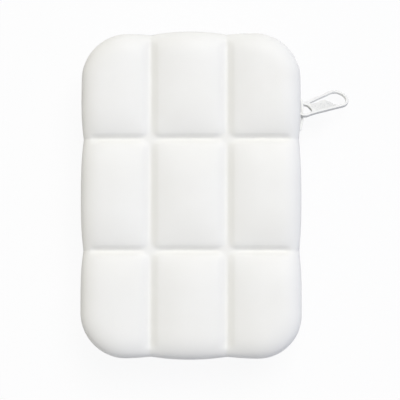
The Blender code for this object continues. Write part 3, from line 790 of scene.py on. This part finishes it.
def enamel_material(name, wear):
    """White stoved enamel over die-cast zinc, with the paint a little thin along the edges."""
    material, shader, colour = grained_material(
        name, pale=(0.88, 0.878, 0.825), deep=(0.86, 0.858, 0.805), roughness=(0.3, 0.42),
        grain_scale=1500.0, blotch_scale=220.0, bump_height=0.003 * MM,
    )
    tree = material.node_tree
    rubbed = add_node(tree, "ShaderNodeGroup", node_tree=edge_wear)
    rubbed.inputs["Amount"].default_value = wear
    thin = add_node(tree, "ShaderNodeMix", {
        "Factor": rubbed.outputs["Mask"], "A": colour.outputs["Result"], "B": (*worn_paint, 1),
    }, data_type="RGBA")
    tree.links.new(thin.outputs["Result"], shader.inputs["Base Color"])
    shader.inputs["Coat Weight"].default_value = 0.12
    shader.inputs["Coat Roughness"].default_value = 0.2
    return material


stop_enamel = enamel_material("white_enamel_stops", 0.4)
web_edge = tape_inner - clearance
stop_low = tape_back_x - clearance
stop_high = tape_front_x + clearance
for side, body, end_name in ((-1, "rear_half", "rear"), (1, "front_half", "front")):
    clip = [
        (stop_low - stop_leg, web_edge - stop_leg / 2),
        (stop_high + stop_leg, web_edge - stop_leg / 2),
        (stop_high + stop_leg, web_edge + stop_width),
        (stop_high, web_edge + stop_width),
        (stop_high, web_edge),
        (stop_low, web_edge),
        (stop_low, web_edge + stop_width),
        (stop_low - stop_leg, web_edge + stop_width),
    ]
    place = Matrix.Translation((0, closed_past - stop_length / 2, mid_height)) @ across_zip
    loop = subdivided([(x, side * z) for x, z in clip], stop_step)
    stop = pressed("top_stop_clip_" + end_name, [loop], stop_length, stop_edge, place)
    stop.data.materials.append(stop_enamel)
    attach(stop, body)
    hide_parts("top_stop_" + end_name)

far_edge = bottom_stop_width / 2
half_clip = [
    (stop_low - stop_leg, far_edge),
    (stop_low, far_edge),
    (stop_low, web_edge),
    (stop_high, web_edge),
    (stop_high, far_edge),
    (stop_high + stop_leg, far_edge),
]
place = Matrix.Translation((0, stop_top_y - stop_length / 2, mid_height)) @ across_zip
loop = subdivided(half_clip + [(x, -z) for x, z in reversed(half_clip)], stop_step)
stop = pressed("bottom_stop_clip", [loop], stop_length, stop_edge, place)
stop.data.materials.append(stop_enamel)
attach(stop, "rear_half")
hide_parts("bottom_stop")


# Slider body. A white enamelled zinc casting: two plates joined by a wedge-shaped post at the nose, a
# flange down each side that steers the rows of teeth together, and two bosses for the crown's feet.
nose_width = 8.4 * MM
tail_width = 6.8 * MM
slider_corner = 1.6 * MM
plate_waist = 2.5 * MM
slider_shoulder = 4.2 * MM
plate_thickness = 1.0 * MM
plate_edge = 0.32 * MM
flange = 0.7 * MM
flange_edge = 0.1 * MM
flange_setback = 0.9 * MM
post_width = 1.0 * MM
post_length = 2.2 * MM
post_setback = 1.2 * MM
post_corner = 0.12 * MM
post_edge = 0.02 * MM
boss_height = 0.55 * MM
boss_width = 2.1 * MM
boss_length = 2.4 * MM
boss_nose_setback = 1.1 * MM
boss_tail_setback = 1.55 * MM
boss_corner = 0.7 * MM
boss_edge = 0.25 * MM
boss_sink = 0.4 * MM
coil_room = 1.7 * MM
slider_y = (slider_nose_y + slider_tail_y) / 2
inner_plate_top_x = tape_back_x - clearance
inner_plate_x = inner_plate_top_x - plate_thickness
outer_plate_x = coil_x + coil_room + clearance
outer_plate_top_x = outer_plate_x + plate_thickness
along_zip = Matrix(((0, 0, 1, 0), (1, 0, 0, 0), (0, 1, 0, 0), (0, 0, 0, 1)))


def rounded(points, radii, steps=6):
    """A closed outline with each corner turned at its own radius."""
    out = []
    for here, radius in enumerate(radii):
        corner = Vector(points[here])
        before = (Vector(points[here - 1]) - corner).normalized()
        after = (Vector(points[(here + 1) % len(points)]) - corner).normalized()
        if radius == 0:
            out.append(tuple(corner))
            continue
        half = before.angle(after) / 2
        centre = corner + (before + after).normalized() * (radius / math.sin(half))
        start = corner + before * (radius / math.tan(half)) - centre
        end = corner + after * (radius / math.tan(half)) - centre
        turn = start.angle_signed(end)
        for step in range(steps + 1):
            spoke = start.copy()
            spoke.rotate(Matrix.Rotation(-turn * step / steps, 2))
            out.append(tuple(centre + spoke))
    return out


def plate_outline(inset):
    """The slider seen from outside: wide at its nose, narrow at its tail."""
    nose = nose_width / 2 - inset
    tail = tail_width / 2 - inset
    front = slider_length / 2
    waist = front - slider_shoulder
    points = [(-front, -tail), (waist - slider_shoulder, -tail), (waist, -nose), (front, -nose)]
    return points + [(along, -across) for along, across in reversed(points)]


def slab(name, loops, low_x, high_x, edge):
    """An outline in the plane of the slider's plates, from low_x to high_x."""
    place = Matrix.Translation(((low_x + high_x) / 2, slider_y, mid_height)) @ along_zip
    return pressed(name, loops, high_x - low_x, edge, place)


def joined(keep, *others):
    """Welds the others into keep with exact unions, and leaves one plain mesh."""
    for other in others:
        weld = keep.modifiers.new("weld", "BOOLEAN")
        weld.operation = "UNION"
        weld.solver = "EXACT"
        weld.object = other
    mesh = baked(keep)
    keep.modifiers.clear()
    mesh.name = keep.data.name
    keep.data = mesh
    for other in others:
        bpy.data.objects.remove(other)
    mesh.shade_smooth()
    mesh.set_sharp_from_angle(angle=metal_fold)
    return keep


half_radii = (slider_corner, plate_waist, plate_waist, slider_corner)
plate_radii = half_radii + half_radii
plate_loop = rounded(plate_outline(0.0), plate_radii)
outer_plate = slab("slider_casting", [plate_loop], outer_plate_x, outer_plate_top_x, plate_edge)
inner_plate = slab("inner_plate", [plate_loop], inner_plate_x, inner_plate_top_x, plate_edge)
post_middle = slider_nose_y - post_setback - post_length / 2 - slider_y
post_loop = rounded([
    (post_middle - post_length / 2, 0.0),
    (post_middle, post_width / 2),
    (post_middle + post_length / 2, 0.0),
    (post_middle, -post_width / 2),
], (post_corner,) * 4, steps=3)
post = slab("post", [post_loop], inner_plate_top_x - plate_edge, outer_plate_x + plate_edge, post_edge)
flange_reach = slider_length / 2 - flange_setback
flanges = []
for side in (-1, 1):
    outer_side = sorted(p for p in plate_loop if p[1] * side > tail_width / 2 - slider_corner)
    inner_side = [(min(max(x, -flange_reach), flange_reach), y - side * flange) for x, y in outer_side]
    flange_loop = outer_side + list(reversed(inner_side))
    flanges.append(slab("flange", [flange_loop], coil_x, outer_plate_x + plate_edge, flange_edge))
boss_top_x = outer_plate_top_x + boss_height
bosses = []
for boss_y in (slider_nose_y - boss_nose_setback, slider_tail_y + boss_tail_setback):
    middle = boss_y - slider_y
    boss_loop = rounded([
        (middle - boss_length / 2, -boss_width / 2),
        (middle + boss_length / 2, -boss_width / 2),
        (middle + boss_length / 2, boss_width / 2),
        (middle - boss_length / 2, boss_width / 2),
    ], (boss_corner,) * 4, steps=5)
    bosses.append(slab("boss", [boss_loop], outer_plate_top_x - boss_sink, boss_top_x, boss_edge))
slider_casting = joined(outer_plate, inner_plate, post, *flanges, *bosses)
slider_enamel = enamel_material("white_enamel_slider", 0.55)
slider_casting.data.materials.clear()
slider_casting.data.materials.append(slider_enamel)
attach(slider_casting, "slider")
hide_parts("slider_body")


# Crown. A bent strip of enamelled metal that stands on the slider's outer plate, steep at the nose and
# long and sloping at the tail; the puller's ring slides along it.
bridge_thickness = 0.95 * MM
bridge_width = 0.9 * MM
bridge_gap = 3.4 * MM
bridge_nose = 0.9 * MM
bridge_tail = 0.6 * MM
bridge_top_length = 8.6 * MM
bridge_tail_drop = 0.6 * MM
bridge_tail_length = 4.1 * MM
bridge_round = 0.5 * MM
bridge_nose_round = 2.0 * MM
bridge_edge = 0.2 * MM
bridge_x = outer_plate_top_x + bridge_gap
foot = outer_plate_top_x + boss_height / 2
top = bridge_x + bridge_thickness
nose = slider_nose_y - bridge_nose
tail = nose - bridge_top_length
slope = tail - bridge_tail_length
end = slider_tail_y + bridge_tail
strip = bridge_thickness
strip_loop = [
    (foot, nose),
    (top, nose),
    (top, tail),
    (top - bridge_tail_drop, slope),
    (foot, end),
    (foot, end + 2 * strip),
    (top - bridge_tail_drop - strip, slope + strip),
    (bridge_x, tail + strip / 2),
    (bridge_x, nose - strip),
    (foot, nose - strip),
]
outer_radii = (0, bridge_nose_round, 4 * bridge_round, 2 * bridge_round, 0)
inner_radii = (0, 0, bridge_round, bridge_nose_round - strip, 0)
place = Matrix.Translation((0, 0, mid_height))
strip_outline = rounded(strip_loop, outer_radii + inner_radii)
crown_strip = pressed("crown_strip", [strip_outline], bridge_width, bridge_edge, place)
crown_strip.data.materials.append(slider_enamel)
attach(crown_strip, "slider")
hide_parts("slider_crown")


# Puller. A die-cast teardrop tab in white enamel: a ring round the crown, a thin recessed web between
# raised round rims, and a window past the web, which runs back beside it as a slot.
puller_length = 24.35 * MM
puller_thickness = 1.25 * MM
far_width = 8.9 * MM
near_width = 6.6 * MM
waist_width = 6.6 * MM
waist_at = 7.4 * MM
ring_rim = 1.2 * MM
side_rim = 1.15 * MM
rim_round = 0.36 * MM
web = 0.5 * MM
web_soft = 0.1 * MM
ring_hole_length = 5.2 * MM
ring_corner = 1.5 * MM
ring_turn_degrees = (75.0, 285.0)
ring_bridge = 1.1 * MM
web_end = 17.8 * MM
web_slant = 2.9 * MM
web_edge_y = 1.5 * MM
web_round = 2.0 * MM
slot_setback = 0.8 * MM
slot_round = 0.35 * MM
frame_corner = 0.8 * MM
bar_to_bridge = 2.2 * MM
puller_on_bridge = 0.85 * MM
puller_plan = math.radians(22.2)
puller_droop = math.radians(32.5)
puller_roll = math.radians(-31.0)
fine_step = 0.8 * MM
# Painted shade on the puller's enamel: colour factors for the recessed web, the side walls and the
# walls round the window.
web_painted_shade = 0.93
wall_painted_shade = 0.72
window_wall_painted_shade = 0.95
side_wall_slope = 0.7

near_end = -bar_to_bridge - ring_rim / 2
ring_centre = near_end + near_width / 2
far_centre = near_end + puller_length - far_width / 2
waist = near_end + waist_at


def arc(centre, radius, start, end, steps):
    """Points on an arc, angles in degrees."""
    angles = np.radians(np.linspace(start, end, steps + 1))
    return [(centre[0] + radius * math.cos(a), centre[1] + radius * math.sin(a)) for a in angles]


def side_lean():
    """Angle in degrees between the puller's axis and its straight side, which meets the far arc."""
    far = far_width / 2
    across = far - waist_width / 2
    along = far_centre - waist
    return math.degrees(math.atan2(across, along) + across * across / (2 * far * along))


def side_at(along, inset):
    """Half width of the puller at a place on its straight side."""
    return waist_width / 2 - inset + (along - waist) * math.tan(math.radians(side_lean()))


lean = side_lean()
puller_outline = arc((far_centre, 0.0), far_width / 2, -90 - lean, 90 + lean, steps=36)
puller_outline.append((waist, waist_width / 2))
puller_outline += arc((ring_centre, 0.0), near_width / 2, *ring_turn_degrees, steps=30)
puller_outline.append((waist, -waist_width / 2))

hole_end = near_end + ring_rim + ring_hole_length
hole_half = waist_width / 2 - ring_rim
ring_hole = arc((ring_centre, 0.0), near_width / 2 - ring_rim, *ring_turn_degrees, steps=24)
ring_hole += arc((hole_end - ring_corner, ring_corner - hole_half), ring_corner, -90, 0, steps=8)
ring_hole += arc((hole_end - ring_corner, hole_half - ring_corner), ring_corner, 0, 90, steps=8)

web_start = hole_end + ring_bridge
frame_hole = [(web_start, side_at(web_start, side_rim)), (web_start, -side_at(web_start, side_rim))]
frame_hole += arc((far_centre, 0.0), far_width / 2 - side_rim, -90 - lean, 90 + lean, steps=30)
frame_hole = rounded(frame_hole, (frame_corner, frame_corner) + (0,) * (len(frame_hole) - 2), steps=5)

tuck = side_rim / 2
slot_start = web_start + slot_setback
low_end = near_end + web_end
high_end = low_end - web_slant
under_rim = low_end + web_slant * tuck / (web_edge_y + side_at(low_end, side_rim))
web_loop = rounded([
    (web_start - tuck, side_at(web_start, tuck)),
    (web_start - tuck, -side_at(web_start, tuck)),
    (under_rim, -side_at(under_rim, tuck)),
    (high_end, web_edge_y),
    (slot_start, web_edge_y),
    (slot_start, side_at(slot_start, tuck)),
], (0, 0, 0, web_round, slot_round, 0))
puller_turn = Matrix.Rotation(puller_plan, 4, "Z")
puller_turn @= Matrix.Rotation(puller_droop, 4, "Y") @ Matrix.Rotation(puller_roll, 4, "X")
ring_place = (bridge_x + bridge_thickness / 2, slider_y + puller_on_bridge, mid_height)
puller_place = Matrix.Translation(ring_place)
puller_place @= puller_turn
frame_loops = [subdivided(puller_outline, fine_step), ring_hole, subdivided(frame_hole, fine_step)]
puller_frame = pressed("pull_tab_cast", frame_loops, puller_thickness, rim_round, puller_place)
web_plate = pressed("web_plate", [subdivided(web_loop, fine_step)], web, web_soft, puller_place)
pull_tab_cast = joined(puller_frame, web_plate)
puller_enamel = enamel_material("white_enamel_puller", 0.6)
tree = puller_enamel.node_tree
shader = tree.nodes["Principled BSDF"]
paint = shader.inputs["Base Color"].links[0].from_socket
# Painted shade: the enamel's colour is scaled down on the web and on the side walls, where shade falls.
puller_shade = add_node(tree, "ShaderNodeAttribute", attribute_name="painted_shade_tone").outputs["Fac"]
shaded_paint = add_node(tree, "ShaderNodeVectorMath", {0: paint, "Scale": puller_shade}, operation="SCALE")
tree.links.new(shaded_paint.outputs["Vector"], shader.inputs["Base Color"])
flat_cast = puller_place.inverted()
# Each face gets its painted shade: the rims' faces keep their colour and the web is a little darker.
# The outer walls and the walls round the ring hole are much darker, and the walls round the window only
# slightly darker.
puller_shade_mark = pull_tab_cast.data.attributes.new("painted_shade_tone", "FLOAT", "CORNER")
for face in pull_tab_cast.data.polygons:
    facing = flat_cast.to_3x3() @ face.normal
    middle = flat_cast @ face.center
    share = 1.0 if abs(middle.z) > web / 2 + web_soft else web_painted_shade
    if abs(facing.z) < side_wall_slope:
        inward = facing.y * middle.y + facing.x * max(0.0, middle.x - far_centre) < 0
        share = window_wall_painted_shade if inward and middle.x > web_start else wall_painted_shade
    for corner in face.loop_indices:
        puller_shade_mark.data[corner].value = share
pull_tab_cast.data.materials.clear()
pull_tab_cast.data.materials.append(puller_enamel)
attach(pull_tab_cast, "puller")
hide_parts("pull_tab")


# Studio. The purse lies on white paper under one large softbox and a pale sky, warmer over the spine
# and bluer over the zip. Floor and sky show as near white where they are seen straight, and light the
# purse with less, so that its pale faces keep their tone and their shadow.
frame_width = 146.9 * MM
camera_distance = 600 * MM
camera_tilt = math.radians(3.0)
camera_lean = math.radians(2.0)
sensor_width = 36
aim = Vector((3.2 * MM, -1.7 * MM, 20 * MM))
floor_size = 6.0
floor_drop = 0.2 * MM
floor_colour = (0.8, 0.8, 0.8)
floor_glow = 0.92
spine_tint = (1.04, 0.98, 0.79)
zip_tint = (0.79, 0.90, 1.42)
low_sky = 0.225
high_sky = 0.48
high_sky_from = 0.8
key_direction = (0.23, 0.42, 0.88)
key_distance = 9.0
key_size = 4.8
key_power = 552.0
key_colour = (1.0, 0.987, 0.955)

camera_data = bpy.data.cameras.new("camera")
camera_data.sensor_width = sensor_width
camera_data.lens = sensor_width * camera_distance / frame_width
camera_data.clip_start = 0.01
camera = placed("camera", camera_data)
turn = Matrix.Rotation(camera_lean, 4, "Y") @ Matrix.Rotation(camera_tilt, 4, "X")
camera.matrix_world = Matrix.Translation(aim) @ turn @ Matrix.Translation((0, 0, camera_distance))
bpy.context.scene.camera = camera


def seen_straight(tree):
    """1 where the camera, a mirror or clear material looks at the surface, 0 where it only lights."""
    ray = add_node(tree, "ShaderNodeLightPath").outputs
    mirrored = maths(tree, "MAXIMUM", ray["Is Camera Ray"], ray["Is Glossy Ray"])
    return maths(tree, "MAXIMUM", mirrored, ray["Is Transmission Ray"])


bpy.ops.mesh.primitive_plane_add(size=floor_size, location=(0, 0, -floor_drop))
floor = bpy.context.object
floor.name = "floor"
paper = bpy.data.materials.new("floor_paper")
paper.use_nodes = True
tree = paper.node_tree
tree.nodes.clear()
matt = add_node(tree, "ShaderNodeBsdfDiffuse", {"Color": (*floor_colour, 1)})
glow = add_node(tree, "ShaderNodeEmission", {"Strength": 1.0})
glowing = maths(tree, "MULTIPLY", seen_straight(tree), floor_glow)
mixed = add_node(tree, "ShaderNodeMixShader", {
    0: glowing, 1: matt.outputs["BSDF"], 2: glow.outputs["Emission"],
})
add_node(tree, "ShaderNodeOutputMaterial", {"Surface": mixed.outputs["Shader"]})
floor.data.materials.append(paper)

world = bpy.data.worlds.new("studio")
world.use_nodes = True
bpy.context.scene.world = world
tree = world.node_tree
toward = add_node(tree, "ShaderNodeTexCoord").outputs["Generated"]
apart = add_node(tree, "ShaderNodeSeparateXYZ", {"Vector": toward})
sides = add_node(tree, "ShaderNodeMapRange", {"Value": apart.outputs["X"], "From Min": -1.0})
tint = add_node(tree, "ShaderNodeMix", {
    "Factor": sides.outputs["Result"], "A": (*spine_tint, 1), "B": (*zip_tint, 1),
}, data_type="RGBA")
climb = add_node(tree, "ShaderNodeMapRange", {
    "Value": apart.outputs["Z"], "From Max": high_sky_from, "To Min": low_sky, "To Max": high_sky,
})
sky = tree.nodes["Background"]
tree.links.new(tint.outputs["Result"], sky.inputs["Color"])
tree.links.new(climb.outputs["Result"], sky.inputs["Strength"])
white_wall = add_node(tree, "ShaderNodeBackground", {"Color": (1.0, 1.0, 1.0, 1)})
either = add_node(tree, "ShaderNodeMixShader", {
    0: seen_straight(tree), 1: sky.outputs["Background"], 2: white_wall.outputs["Background"],
})
tree.links.new(either.outputs["Shader"], tree.nodes["World Output"].inputs["Surface"])

key_data = bpy.data.lights.new("key_softbox", "AREA")
key_data.shape = "SQUARE"
key_data.size = key_size
key_data.energy = key_power
key_data.color = key_colour
key_softbox = placed("key_softbox", key_data)
away = Vector(key_direction).normalized()
key_softbox.location = away * key_distance
key_softbox.rotation_euler = away.to_track_quat("Z", "Y").to_euler()

bpy.context.scene.view_settings.view_transform = "Standard"
